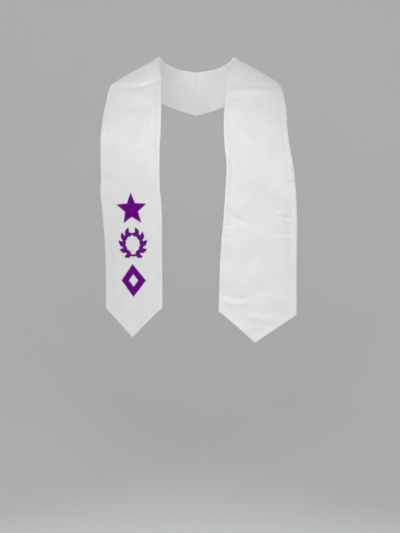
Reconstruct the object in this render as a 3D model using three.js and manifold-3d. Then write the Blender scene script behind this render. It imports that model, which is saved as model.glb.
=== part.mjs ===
// A graduation stole: a lined satin band that goes round the neck and hangs down the chest in two panels,
// each cut to a point. It is sewn from two halves that meet in a seam at the centre back, and one panel
// carries three sewn-on ornaments. It is shaped as it hangs when worn.
//
// Millimetres, +Z up. X runs to the right as seen from the front, and the front faces -Y. The origin is on
// the neck's axis, level with the shoulder line that the stole sits on.
import * as THREE from "three";
import { mergeVertices } from "three/addons/utils/BufferGeometryUtils.js";
import Module from "manifold-3d";

// Cloth and cut
const CLOTH_THICKNESS = 2; // two layers of satin and the interfacing between them
const NECK_BAND_WIDTH = 75; // cut width on the shoulder line
const END_WIDTH = 141; // cut width at the corners of each end
const POINT_DROP = 53; // from the corners of each end down to its point
const SEAM_GAP = 0.3; // between the two halves in the centre-back seam

// How it hangs
const NECK_HALF_WIDTH = 71; // neck axis to the inner edge, on the shoulder line
const NAPE_SETBACK = 62; // neck axis back to the inner edge, at the nape
const NAPE_DROP = 20; // nape below the shoulder line
const CHEST_REACH = 116; // neck axis forward to the inner edge, where the chest is fullest
const LEFT_DROP = 463; // shoulder line down to the inner corner of the left end
const RIGHT_DROP = 469; // shoulder line down to the inner corner of the right end
const LEFT_BOW = 0.02; // how far the left panel's front bulges, as a share of its width
const RIGHT_BOW = 0.03;
const RIGHT_POINT_SWING = 5; // how far the right end's point hangs nearer the middle than its cut puts it
const FOLD_HEIGHT = 4; // that the folds' heights are shares of
const FOLD_WIDTH = 14; // that the folds' widths are shares of

// Sewn-on ornaments
const APPLIQUE_THICKNESS = 1.2;
const APPLIQUE_CLEARANCE = 0.3; // between an ornament and the satin
const APPLIQUE_WIDTH = 66; // of the box that each outline fills
const APPLIQUE_HEIGHT = 58;
const APPLIQUE_PITCH = 65.7; // between the centres of two ornaments
const LOWEST_APPLIQUE_RISE = 49.5; // centre of the lowest ornament above the corners of its end
const APPLIQUE_ACROSS = 0.48; // centre of each ornament, from the inner edge, as a share of the width
const STAR_POINTS = 5;
const STAR_WAIST = 0.45; // a star's inner radius, as a share of its outer one
const LOZENGE_WIDTH = 0.9; // as a share of its height
const LOZENGE_HOLE = 0.42; // as a share of the lozenge
const WREATH_RADIUS = 0.72; // of the stems, where the outline's box reaches 1, as for the next three
const STEM_WIDTH = 0.13;
const LEAF_LENGTH = 0.5;
const LEAF_WIDTH = 0.26;
const LEAF_FULLNESS = 0.8; // a leaf is broadest in the middle at 1, and nearer its root below that
const LEAF_PAIRS = 5; // on each sprig of the wreath
const LEAF_LEAN = 30; // degrees between a leaf and its stem
const SPRIG_SWEEP = 158; // degrees that each sprig runs up from the bottom
const SPRIG_CROSSING = 10; // degrees that each sprig runs on past the bottom

// Fineness of the mesh
const ROWS_PER_SECTION = 4;
const COLUMNS = 12;
const BENT_SECTIONS = 2; // above the corners of an end, over which the rows bend into its V
const RIM_STEPS = 2; // faces round the rolled edge
const LEAF_STEPS = 3; // along each side of a leaf
const STEM_STEPS = 14;
const SLOPE_STEP = 0.005; // in sections, or as a share of the width, over which slopes are taken

// Sections round the neck, from the centre back to the shoulder line. The inner edge lies at out, a share
// of NECK_HALF_WIDTH, at back, a share of NAPE_SETBACK, and at down, a share of NAPE_DROP. From there the
// section runs to the outer edge, swung back by turn and falling by dip, in degrees. wide is how far the
// cut has widened from the neck band to the end, and bow how far the section bulges, as a share of its width.
const NECK_SECTIONS = [
  { out: 0.0, back: 1.0, down: 1.0, turn: 90, dip: 66, wide: 0.16, bow: 0.0 },
  { out: 0.47, back: 0.9, down: 0.75, turn: 66, dip: 56, wide: 0.07, bow: 0.01 },
  { out: 0.84, back: 0.52, down: 0.3, turn: 36, dip: 42, wide: 0.01, bow: 0.02 },
  { out: 1.0, back: 0.0, down: 0.0, turn: 12, dip: 30, wide: 0.0, bow: 0.02 },
];

// Sections down the chest, from below the shoulder line to the corners of the ends. ahead is a share of
// CHEST_REACH and down a share of the half's drop.
const FRONT_SECTIONS = [
  { down: 0.048, ahead: 0.31, wide: 0.34 },
  { down: 0.108, ahead: 0.53, wide: 0.53 },
  { down: 0.185, ahead: 0.71, wide: 0.66 },
  { down: 0.27, ahead: 0.835, wide: 0.71 },
  { down: 0.36, ahead: 0.92, wide: 0.745 },
  { down: 0.45, ahead: 0.97, wide: 0.765 },
  { down: 0.54, ahead: 0.995, wide: 0.84 },
  { down: 0.63, ahead: 1.0, wide: 0.89 },
  { down: 0.72, ahead: 1.0, wide: 0.94 },
  { down: 0.81, ahead: 0.985, wide: 0.97 },
  { down: 0.905, ahead: 0.97, wide: 0.99 },
  { down: 1.0, ahead: 0.955, wide: 1.0 },
];

// How each half hangs at the front sections. The halves are cut alike, but the left one wraps round the
// side of the chest and the right one faces the front.
const LEFT_HANG = [
  { out: 0.96, turn: 18, dip: 17 },
  { out: 0.92, turn: 25, dip: 10 },
  { out: 0.905, turn: 27, dip: 6 },
  { out: 0.915, turn: 26.5, dip: 4 },
  { out: 0.94, turn: 28.5, dip: 3 },
  { out: 0.95, turn: 31, dip: 2 },
  { out: 0.935, turn: 33, dip: 1 },
  { out: 0.885, turn: 35, dip: 0 },
  { out: 0.885, turn: 39, dip: 0 },
  { out: 0.875, turn: 40.5, dip: 0 },
  { out: 0.87, turn: 41.5, dip: 0.5 },
  { out: 0.865, turn: 41, dip: 1 },
];
const RIGHT_HANG = [
  { out: 0.9, turn: 16, dip: 15.5 },
  { out: 0.8, turn: 19, dip: 10 },
  { out: 0.74, turn: 20, dip: 6 },
  { out: 0.705, turn: 19, dip: 4 },
  { out: 0.72, turn: 17, dip: 3 },
  { out: 0.77, turn: 15, dip: 2 },
  { out: 0.735, turn: 13, dip: 1 },
  { out: 0.695, turn: 11, dip: 0 },
  { out: 0.64, turn: 9, dip: 0 },
  { out: 0.6, turn: 8, dip: 0 },
  { out: 0.58, turn: 7, dip: 1.5 },
  { out: 0.56, turn: 6, dip: 3 },
];

// Main folds and dents. at is the middle of the fold, in sections from the centre back, and across its
// place between the inner and outer edge, as a share. lean is the angle of its ridge from level, in
// degrees, rising towards the outer edge. long is a share of END_WIDTH, wide of FOLD_WIDTH and high of
// FOLD_HEIGHT, where a dent is negative.
const LEFT_FOLDS = [
  { at: 4.75, across: 0.4, lean: -14, long: 0.3, wide: 0.7, high: 0.4 },
  { at: 5.3, across: 0.25, lean: -8, long: 0.4, wide: 0.9, high: -0.5 },
  { at: 5.85, across: 0.55, lean: 4, long: 0.4, wide: 1.2, high: 0.5 },
  { at: 8.3, across: 0.98, lean: 8, long: 0.14, wide: 0.7, high: -0.4 },
  { at: 9.4, across: 0.98, lean: -10, long: 0.18, wide: 0.8, high: -0.7 },
  { at: 14.4, across: 0.6, lean: 22, long: 0.35, wide: 1.1, high: 0.3 },
];
const RIGHT_FOLDS = [
  { at: 4.7, across: 0.55, lean: 2, long: 0.4, wide: 0.7, high: 0.4 },
  { at: 5.15, across: 0.55, lean: 2, long: 0.5, wide: 0.8, high: -0.5 },
  { at: 5.7, across: 0.5, lean: 3, long: 0.6, wide: 1.2, high: 0.6 },
  { at: 8.9, across: 0.02, lean: 20, long: 0.14, wide: 0.8, high: -0.7 },
  { at: 9.2, across: 0.95, lean: 24, long: 0.18, wide: 0.9, high: 0.6 },
  { at: 11.0, across: 0.16, lean: -32, long: 0.2, wide: 0.8, high: 0.7 },
  { at: 11.3, across: 0.14, lean: -32, long: 0.2, wide: 0.8, high: -0.6 },
  { at: 11.0, across: 0.86, lean: -8, long: 0.2, wide: 0.7, high: 0.6 },
  { at: 11.5, across: 0.87, lean: -22, long: 0.22, wide: 0.7, high: -0.6 },
  { at: 14.4, across: 0.1, lean: -26, long: 0.22, wide: 0.9, high: 0.5 },
  { at: 14.5, across: 0.72, lean: -14, long: 0.28, wide: 0.9, high: 0.5 },
  { at: 15.2, across: 0.5, lean: -16, long: 0.26, wide: 0.8, high: -0.5 },
];

const SATIN = new THREE.MeshStandardMaterial({ color: 0xdddddd, roughness: 0.38, metalness: 0 });
const TWILL = new THREE.MeshStandardMaterial({ color: 0x670082, roughness: 0.65, metalness: 0 });

const wasm = await Module();
wasm.setup();

const SHOULDER_SECTION = NECK_SECTIONS.length - 1;
const CORNER_SECTION = SHOULDER_SECTION + FRONT_SECTIONS.length;

// A half's sections in millimetres and degrees, with x counted outwards, and one more for its point.
function sectionsOf({ drop, bow, pointSwing, hang }) {
  const widthAt = (wide) => NECK_BAND_WIDTH + wide * (END_WIDTH - NECK_BAND_WIDTH);
  const neck = NECK_SECTIONS.map((s) => ({
    x: SEAM_GAP / 2 + s.out * (NECK_HALF_WIDTH - SEAM_GAP / 2),
    y: s.back * NAPE_SETBACK,
    z: -s.down * NAPE_DROP,
    turn: s.turn,
    dip: s.dip,
    width: widthAt(s.wide),
    bow: s.bow,
  }));
  const front = FRONT_SECTIONS.map((s, k) => ({
    x: hang[k].out * NECK_HALF_WIDTH,
    y: -s.ahead * CHEST_REACH,
    z: -s.down * drop,
    turn: hang[k].turn,
    dip: hang[k].dip,
    width: widthAt(s.wide),
    bow,
  }));
  const corners = front[front.length - 1];
  const point = { ...corners, x: corners.x - pointSwing, z: corners.z - POINT_DROP };
  return [...neck, ...front, point];
}

// A smooth curve through one column of the sections, at a place counted in sections.
function columnAt(sections, column, place) {
  const last = sections.length - 1;
  const i = Math.min(Math.max(Math.floor(place), 0), last - 1);
  const t = place - i;
  const value = (k) => sections[k][column];
  const before = i > 0 ? value(i - 1) : 2 * value(0) - value(1);
  const after = i + 2 <= last ? value(i + 2) : 2 * value(last) - value(last - 1);
  const slopeIn = (value(i + 1) - before) / 2;
  const slopeOut = (after - value(i)) / 2;
  const t2 = t * t;
  const t3 = t2 * t;
  return (
    (2 * t3 - 3 * t2 + 1) * value(i) +
    (t3 - 2 * t2 + t) * slopeIn +
    (3 * t2 - 2 * t3) * value(i + 1) +
    (t3 - t2) * slopeOut
  );
}

// The middle of the cloth before its folds, at a place along the half and a share across it.
function flatPoint(half, place, across) {
  const at = (column) => columnAt(half.sections, column, place);
  const turn = THREE.MathUtils.degToRad(at("turn"));
  const dip = THREE.MathUtils.degToRad(at("dip"));
  const width = at("width");
  const level = new THREE.Vector3(Math.cos(turn), Math.sin(turn), 0);
  const section = level.clone().multiplyScalar(Math.cos(dip)).setZ(-Math.sin(dip));
  const bulge = level.clone().multiplyScalar(Math.sin(dip)).setZ(Math.cos(dip));
  const facing = new THREE.Vector3(Math.sin(turn), -Math.cos(turn), 0);
  // A section bulges upwards at the shoulder and forwards on the chest, most at its middle.
  const onChest = THREE.MathUtils.smoothstep(place, SHOULDER_SECTION - 1, SHOULDER_SECTION + 2);
  const out = bulge.multiplyScalar(1 - onChest).addScaledVector(facing, onChest).normalize();
  return new THREE.Vector3(at("x"), at("y"), at("z"))
    .addScaledVector(section, width * across)
    .addScaledVector(out, 4 * at("bow") * width * across * (1 - across));
}

// How far the folds lift the cloth, at a place along the half and a share across it.
function foldHeight(half, place, across) {
  const sectionLength = half.drop / FRONT_SECTIONS.length;
  return half.folds.reduce((height, fold) => {
    const lean = THREE.MathUtils.degToRad(fold.lean);
    const rise = (fold.at - place) * sectionLength;
    const sideways = (across - fold.across) * END_WIDTH;
    const alongRidge = sideways * Math.cos(lean) + rise * Math.sin(lean);
    const offRidge = rise * Math.cos(lean) - sideways * Math.sin(lean);
    const reach = (alongRidge / (fold.long * END_WIDTH)) ** 2 + (offRidge / (fold.wide * FOLD_WIDTH)) ** 2;
    return height + fold.high * FOLD_HEIGHT * Math.exp(-reach);
  }, 0);
}

// The way out of a surface's face, where the surface gives a point for a place along and a share across.
function wayOut(surface, place, across) {
  const along = surface(place + SLOPE_STEP, across).sub(surface(place - SLOPE_STEP, across));
  const sideways = surface(place, across + SLOPE_STEP).sub(surface(place, across - SLOPE_STEP));
  return along.cross(sideways).normalize();
}

// Rows and columns of points on the middle of the cloth, with the way out of its face at each. The last rows
// bend into the V of the cut. The grid stays half a thickness inside the edges.
function clothGrid(half) {
  const flat = (place, across) => flatPoint(half, place, across);
  const folded = (place, across) =>
    flat(place, across).addScaledVector(wayOut(flat, place, across), foldHeight(half, place, across));
  const insetAcross = CLOTH_THICKNESS / 2 / END_WIDTH;
  const insetAlong = CLOTH_THICKNESS / 2 / (half.drop + POINT_DROP);
  const rows = CORNER_SECTION * ROWS_PER_SECTION;
  const grid = [];
  for (let i = 0; i <= rows; i++) {
    const along = (i / rows) * (1 - insetAlong);
    const section = along * CORNER_SECTION;
    const bend = THREE.MathUtils.smoothstep(section, CORNER_SECTION - BENT_SECTIONS, CORNER_SECTION);
    const row = [];
    for (let j = 0; j <= COLUMNS; j++) {
      const across = insetAcross + (j / COLUMNS) * (1 - 2 * insetAcross);
      const place = section + bend * (1 - Math.abs(2 * across - 1));
      const point = folded(place, across);
      const out = wayOut(folded, place, across);
      if (i === 0) {
        // Both halves end in flat faces along the centre-back seam.
        point.x = SEAM_GAP / 2;
        out.setX(0).normalize();
      }
      row.push({ point, out });
    }
    grid.push(row);
  }
  return grid;
}

// A closed skin, built up corner by corner and face by face.
class Skin {
  constructor() {
    this.corners = [];
    this.faces = [];
  }
  add(point) {
    this.corners.push(point.x, point.y, point.z);
    return this.corners.length / 3 - 1;
  }
  triangle(a, b, c) {
    this.faces.push(a, b, c);
  }
  quad(a, b, c, d) {
    this.triangle(a, b, c);
    this.triangle(a, c, d);
  }
  // Two faces over a grid, high and low above its points, as the numbers of their corners.
  faceGrid(grid, high, low) {
    const cornersAt = (height) =>
      grid.map((row) => row.map(({ point, out }) => this.add(point.clone().addScaledVector(out, height))));
    const front = cornersAt(high);
    const back = cornersAt(low);
    for (let i = 0; i + 1 < grid.length; i++) {
      for (let j = 0; j < COLUMNS; j++) {
        this.quad(front[i][j], front[i + 1][j], front[i + 1][j + 1], front[i][j + 1]);
        this.quad(back[i][j], back[i][j + 1], back[i + 1][j + 1], back[i + 1][j]);
      }
    }
    for (let j = 0; j < COLUMNS; j++) this.quad(front[0][j], front[0][j + 1], back[0][j + 1], back[0][j]);
    return { front, back };
  }
  // The skin as a geometry. The left half is worked out on the right, and mirrored here.
  geometry(mirrored) {
    const made = new THREE.BufferGeometry();
    made.setAttribute("position", new THREE.Float32BufferAttribute(this.corners, 3));
    made.setIndex(mirrored ? [...this.faces].reverse() : this.faces);
    return mirrored ? made.scale(-1, 1, 1) : made;
  }
}

// The places round the free edges of a grid, down the inner edge, along the end and up the outer edge,
// with the steps along and across that lead off the cloth there.
function freeEdge(rows) {
  const places = [];
  for (let i = 0; i < rows; i++) places.push({ i, j: 0, off: [[0, -1]] });
  places.push({ i: rows, j: 0, off: [[0, -1], [1, 0]] });
  for (let j = 1; j < COLUMNS; j++) places.push({ i: rows, j, off: [[1, 0]] });
  places.push({ i: rows, j: COLUMNS, off: [[0, 1], [1, 0]] });
  for (let i = rows - 1; i >= 0; i--) places.push({ i, j: COLUMNS, off: [[0, 1]] });
  return places;
}

// One half of the stole: two faces half a thickness from the middle of the cloth, joined by a rolled edge.
function halfGeometry({ grid, mirrored }) {
  const radius = CLOTH_THICKNESS / 2;
  const skin = new Skin();
  const { front, back } = skin.faceGrid(grid, radius, -radius);
  const edges = freeEdge(grid.length - 1).map(({ i, j, off }) => {
    const { point, out } = grid[i][j];
    const push = new THREE.Vector3();
    for (const [di, dj] of off) push.add(point.clone().sub(grid[i - di][j - dj].point).normalize());
    push.addScaledVector(out, -push.dot(out)).normalize();
    if (i === 0) push.setX(0).normalize();
    const edge = [front[i][j]];
    for (let k = 1; k < RIM_STEPS; k++) {
      const angle = (Math.PI * k) / RIM_STEPS;
      const spot = point.clone().addScaledVector(out, radius * Math.cos(angle));
      edge.push(skin.add(spot.addScaledVector(push, radius * Math.sin(angle))));
    }
    edge.push(back[i][j]);
    return edge;
  });
  for (let n = 0; n + 1 < edges.length; n++) {
    for (let k = 0; k < RIM_STEPS; k++) {
      skin.quad(edges[n][k], edges[n][k + 1], edges[n + 1][k + 1], edges[n + 1][k]);
    }
  }
  const [first, last] = [edges[0], edges[edges.length - 1]];
  for (let k = 1; k < RIM_STEPS; k++) {
    skin.triangle(first[0], first[k + 1], first[k]);
    skin.triangle(last[0], last[k], last[k + 1]);
  }
  return skin.geometry(mirrored);
}

// A layer that follows a half's front face, from low to high above the middle of the cloth.
function layerGeometry({ grid, mirrored }, low, high) {
  const skin = new Skin();
  const { front, back } = skin.faceGrid(grid, high, low);
  const last = grid.length - 1;
  for (let i = 0; i < last; i++) {
    skin.quad(front[i][0], back[i][0], back[i + 1][0], front[i + 1][0]);
    skin.quad(front[i][COLUMNS], front[i + 1][COLUMNS], back[i + 1][COLUMNS], back[i][COLUMNS]);
  }
  for (let j = 0; j < COLUMNS; j++) {
    skin.quad(front[last][j], back[last][j], back[last][j + 1], front[last][j + 1]);
  }
  return skin.geometry(mirrored);
}

function solidOf(geometry) {
  const bare = geometry.clone();
  bare.deleteAttribute("normal");
  bare.deleteAttribute("uv");
  const merged = mergeVertices(bare);
  const mesh = new wasm.Mesh({
    numProp: 3,
    vertProperties: new Float32Array(merged.attributes.position.array),
    triVerts: new Uint32Array(merged.index.array),
  });
  return new wasm.Manifold(mesh);
}

function geometryOf(solid) {
  const mesh = solid.getMesh();
  const made = new THREE.BufferGeometry();
  made.setAttribute("position", new THREE.Float32BufferAttribute(mesh.vertProperties, 3));
  made.setIndex([...mesh.triVerts]);
  made.computeVertexNormals();
  return made;
}

// The ornaments' outlines fill a square from -1 to 1. Each is a list of shapes, which may overlap.
function starShapes() {
  const lowest = Math.cos(Math.PI / STAR_POINTS);
  const spots = [];
  for (let k = 0; k < 2 * STAR_POINTS; k++) {
    const radius = k % 2 ? STAR_WAIST : 1;
    const angle = Math.PI / 2 + (Math.PI * k) / STAR_POINTS;
    spots.push(new THREE.Vector2(radius * Math.cos(angle), radius * Math.sin(angle) - (1 - lowest) / 2));
  }
  return [new THREE.Shape(spots)];
}

function lozengeShapes() {
  const spots = (size) => [
    new THREE.Vector2(0, size),
    new THREE.Vector2(-LOZENGE_WIDTH * size, 0),
    new THREE.Vector2(0, -size),
    new THREE.Vector2(LOZENGE_WIDTH * size, 0),
  ];
  const shape = new THREE.Shape(spots(1));
  shape.holes.push(new THREE.Path(spots(LOZENGE_HOLE).reverse()));
  return [shape];
}

// A leaf that grows from root and points along angle.
function leafShape(root, angle) {
  const sideOf = (sign) => {
    const spots = [];
    for (let k = 0; k <= LEAF_STEPS; k++) {
      const share = k / LEAF_STEPS;
      const halfWidth = (sign * LEAF_WIDTH * Math.sin(Math.PI * share ** LEAF_FULLNESS)) / 2;
      spots.push(new THREE.Vector2(share * LEAF_LENGTH, halfWidth));
    }
    return spots;
  };
  const outline = [...sideOf(-1), ...sideOf(1).slice(1, -1).reverse()];
  return new THREE.Shape(outline.map((spot) => spot.rotateAround(new THREE.Vector2(), angle).add(root)));
}

// Two laurel sprigs that cross at the bottom and leave a gap at the top.
function wreathShapes() {
  const { degToRad } = THREE.MathUtils;
  const shapes = [];
  for (const side of [-1, 1]) {
    const headingAt = (degrees) => -Math.PI / 2 + side * degToRad(degrees);
    const spotAt = (degrees, radius) => {
      const heading = headingAt(degrees);
      return new THREE.Vector2(radius * Math.cos(heading), radius * Math.sin(heading));
    };
    const stemEdge = (radius) => {
      const spots = [];
      for (let k = 0; k <= STEM_STEPS; k++) {
        spots.push(spotAt((k / STEM_STEPS) * (SPRIG_SWEEP + SPRIG_CROSSING) - SPRIG_CROSSING, radius));
      }
      return spots;
    };
    const [inner, outer] = [WREATH_RADIUS - STEM_WIDTH / 2, WREATH_RADIUS + STEM_WIDTH / 2];
    shapes.push(new THREE.Shape([...stemEdge(inner), ...stemEdge(outer).reverse()]));
    for (let pair = 0; pair < LEAF_PAIRS; pair++) {
      const degrees = ((pair + 0.5) / LEAF_PAIRS) * SPRIG_SWEEP;
      const forward = headingAt(degrees) + (side * Math.PI) / 2;
      const root = spotAt(degrees, WREATH_RADIUS);
      for (const lean of [-LEAF_LEAN, LEAF_LEAN]) shapes.push(leafShape(root, forward + degToRad(lean)));
    }
  }
  return shapes;
}

// The place along a half, below the shoulder line, at which its inner edge lies at a height.
function placeAtHeight({ sections }, z) {
  const above = sections.findLastIndex((section) => section.z >= z);
  return above + (sections[above].z - z) / (sections[above].z - sections[above + 1].z);
}

// An ornament on the left panel: its outline cut from a layer over the satin, with its middle at rise above
// the corners of the end.
function appliqueGeometry(half, layer, shapes, rise) {
  const mirrored = new THREE.Vector3(-1, 1, 1);
  const surface = (place, across) => flatPoint(half, place, across).multiply(mirrored);
  const place = placeAtHeight(half, rise - half.drop);
  const middle = surface(place, APPLIQUE_ACROSS);
  const inward = surface(place, APPLIQUE_ACROSS - SLOPE_STEP).sub(middle).normalize();
  const upward = surface(place - SLOPE_STEP, APPLIQUE_ACROSS).sub(middle).normalize();
  const out = inward.clone().cross(upward).normalize();
  upward.copy(out).cross(inward);
  const frame = new THREE.Matrix4().makeBasis(inward, upward, out).setPosition(middle);
  frame.scale(new THREE.Vector3(APPLIQUE_WIDTH / 2, APPLIQUE_HEIGHT / 2, APPLIQUE_WIDTH));
  const prisms = shapes.map((shape) => {
    const prism = new THREE.ExtrudeGeometry(shape, { depth: 1, bevelEnabled: false });
    return solidOf(prism.translate(0, 0, -0.5).applyMatrix4(frame));
  });
  return geometryOf(wasm.Manifold.union(prisms).intersect(layer));
}

function named(name, geometry, material) {
  const mesh = new THREE.Mesh(geometry, material);
  mesh.name = name;
  return mesh;
}

function halfOf(hanging, folds, mirrored) {
  const half = { sections: sectionsOf(hanging), drop: hanging.drop, folds, mirrored };
  return { ...half, grid: clothGrid(half) };
}

const leftHanging = { drop: LEFT_DROP, bow: LEFT_BOW, pointSwing: 0, hang: LEFT_HANG };
const rightHanging = { drop: RIGHT_DROP, bow: RIGHT_BOW, pointSwing: RIGHT_POINT_SWING, hang: RIGHT_HANG };
const left = halfOf(leftHanging, LEFT_FOLDS, true);
const right = halfOf(rightHanging, RIGHT_FOLDS, false);

const stole = new THREE.Group();
stole.add(named("left_half", halfGeometry(left), SATIN));
stole.add(named("right_half", halfGeometry(right), SATIN));

const layerFoot = CLOTH_THICKNESS / 2 + APPLIQUE_CLEARANCE;
const layer = solidOf(layerGeometry(left, layerFoot, layerFoot + APPLIQUE_THICKNESS));
const ornaments = [
  { name: "lozenge_applique", shapes: lozengeShapes() },
  { name: "wreath_applique", shapes: wreathShapes() },
  { name: "star_applique", shapes: starShapes() },
];
ornaments.forEach(({ name, shapes }, place) => {
  const rise = LOWEST_APPLIQUE_RISE + place * APPLIQUE_PITCH;
  stole.add(named(name, appliqueGeometry(left, layer, shapes, rise), TWILL));
});

export default stole;
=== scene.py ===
import math

import bpy
import numpy as np
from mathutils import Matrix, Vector


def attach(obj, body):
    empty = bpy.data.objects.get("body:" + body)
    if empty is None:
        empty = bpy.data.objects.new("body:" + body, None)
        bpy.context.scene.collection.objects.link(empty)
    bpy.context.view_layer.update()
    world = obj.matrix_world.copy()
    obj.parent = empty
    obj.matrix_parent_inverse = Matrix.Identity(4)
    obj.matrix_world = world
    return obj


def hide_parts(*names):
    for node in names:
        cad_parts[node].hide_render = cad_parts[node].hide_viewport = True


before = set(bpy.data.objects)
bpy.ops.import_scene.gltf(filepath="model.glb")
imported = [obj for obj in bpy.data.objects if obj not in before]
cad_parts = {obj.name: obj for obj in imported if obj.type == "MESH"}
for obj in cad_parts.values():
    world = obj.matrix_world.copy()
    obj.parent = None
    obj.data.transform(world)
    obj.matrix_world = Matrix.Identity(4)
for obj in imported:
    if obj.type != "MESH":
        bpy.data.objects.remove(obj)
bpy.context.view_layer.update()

# Cloth and cut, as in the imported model
CLOTH_THICKNESS = 0.002
NECK_BAND_WIDTH = 0.075
END_WIDTH = 0.141
POINT_DROP = 0.053
NECK_HALF_WIDTH = 0.071
NAPE_SETBACK = 0.062
NAPE_DROP = 0.020
CHEST_REACH = 0.116
LEFT_DROP = 0.463
RIGHT_DROP = 0.469
LEFT_BOW = 0.02
RIGHT_BOW = 0.03
RIGHT_POINT_SWING = 0.005
FOLD_HEIGHT = 0.004
FOLD_WIDTH = 0.014

# Sections from the centre back to the shoulder line: out, back, down, turn, dip, wide, bow
NECK_SECTIONS = [
    (0.0, 1.0, 1.0, 90, 66, 0.16, 0.0),
    (0.47, 0.9, 0.75, 66, 56, 0.07, 0.01),
    (0.84, 0.52, 0.3, 36, 42, 0.01, 0.02),
    (1.0, 0.0, 0.0, 12, 30, 0.0, 0.02),
]

# Sections down the chest: down, ahead, wide
FRONT_SECTIONS = [
    (0.048, 0.31, 0.34),
    (0.108, 0.53, 0.53),
    (0.185, 0.71, 0.66),
    (0.27, 0.835, 0.71),
    (0.36, 0.92, 0.745),
    (0.45, 0.97, 0.765),
    (0.54, 0.995, 0.84),
    (0.63, 1.0, 0.89),
    (0.72, 1.0, 0.94),
    (0.81, 0.985, 0.97),
    (0.905, 0.97, 0.99),
    (1.0, 0.955, 1.0),
]

# How each half hangs at the front sections: out, turn, dip
LEFT_HANG = [
    (0.96, 18, 17),
    (0.92, 25, 10),
    (0.905, 27, 6),
    (0.915, 26.5, 4),
    (0.94, 28.5, 3),
    (0.95, 31, 2),
    (0.935, 33, 1),
    (0.885, 35, 0),
    (0.885, 39, 0),
    (0.875, 40.5, 0),
    (0.87, 41.5, 0.5),
    (0.865, 41, 1),
]
RIGHT_HANG = [
    (0.9, 16, 15.5),
    (0.8, 19, 10),
    (0.74, 20, 6),
    (0.705, 19, 4),
    (0.72, 17, 3),
    (0.77, 15, 2),
    (0.735, 13, 1),
    (0.695, 11, 0),
    (0.64, 9, 0),
    (0.6, 8, 0),
    (0.58, 7, 1.5),
    (0.56, 6, 3),
]

# Folds: at, across, lean, long, wide, high, with the sizes in END_WIDTH, FOLD_WIDTH and FOLD_HEIGHT
LEFT_FOLDS = [
    (4.6, 0.5, 14, 0.3, 0.6, 0.3),
    (5.0, 0.3, -2, 0.35, 0.5, -0.5),
    (5.16, 0.8, 18, 0.2, 0.6, 0.6),
    (5.52, 0.44, 27, 0.3, 0.7, 0.9),
    (8.3, 0.98, 8, 0.1, 0.4, -0.25),
    (9.4, 0.98, -10, 0.12, 0.5, -0.4),
    (14.4, 0.6, 22, 0.3, 0.7, 0.15),
]
RIGHT_FOLDS = [
    (4.7, 0.55, 2, 0.4, 0.7, 0.25),
    (4.2, 1.0, -15, 0.22, 1.9, -0.8),
    (5.2, 0.5, 12, 0.7, 0.6, 0.6),
    (5.95, 0.55, 6, 0.6, 0.8, -0.1),
    (8.9, 0.02, 20, 0.12, 0.6, -0.2),
    (9.2, 0.95, 24, 0.14, 0.6, 0.3),
    (11.2, 0.15, -32, 0.16, 0.5, -0.1),
    (11.0, 0.86, -8, 0.14, 0.5, 0.2),
    (11.5, 0.87, -22, 0.16, 0.5, -0.2),
    (14.3, 0.12, -10, 0.18, 0.6, -0.15),
    (14.5, 0.72, -6, 0.24, 0.5, 0.2),
    (15.1, 0.55, -8, 0.2, 0.45, 0.25),
]

# Fine creases: at, across, lean, long, wide, high, sag, with high in CREASE_HEIGHT and sizes in millimetres
LEFT_CREASES = [
    (4.62, 0.63, 26, 20, 2.0, 0.35, 0.0),
    (4.87, 0.3, -6, 17, 3.0, 0.6, 0.0),
    (4.5, 0.22, -4, 9, 1.6, 0.2, 0.0),
    (5.05, 0.3, 2, 26, 2.6, -0.3, 0.0),
    (6.15, 0.55, 17, 38, 4.0, -0.55, -3.0),
    (7.95, 0.97, 12, 7, 2.6, -0.4, 0.0),
    (8.55, 0.97, -12, 7, 2.6, -0.45, 0.0),
    (8.8, 0.96, -30, 6, 2.2, 0.35, 0.0),
    (9.8, 0.95, -18, 8, 2.4, 0.3, 0.0),
    (14.2, 0.55, 4, 10, 3.0, 0.25, 0.0),
    (15.05, 0.45, 6, 20, 3.0, 0.3, 0.0),
    (15.5, 0.6, 12, 10, 2.2, 0.2, 0.0),
]
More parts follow.
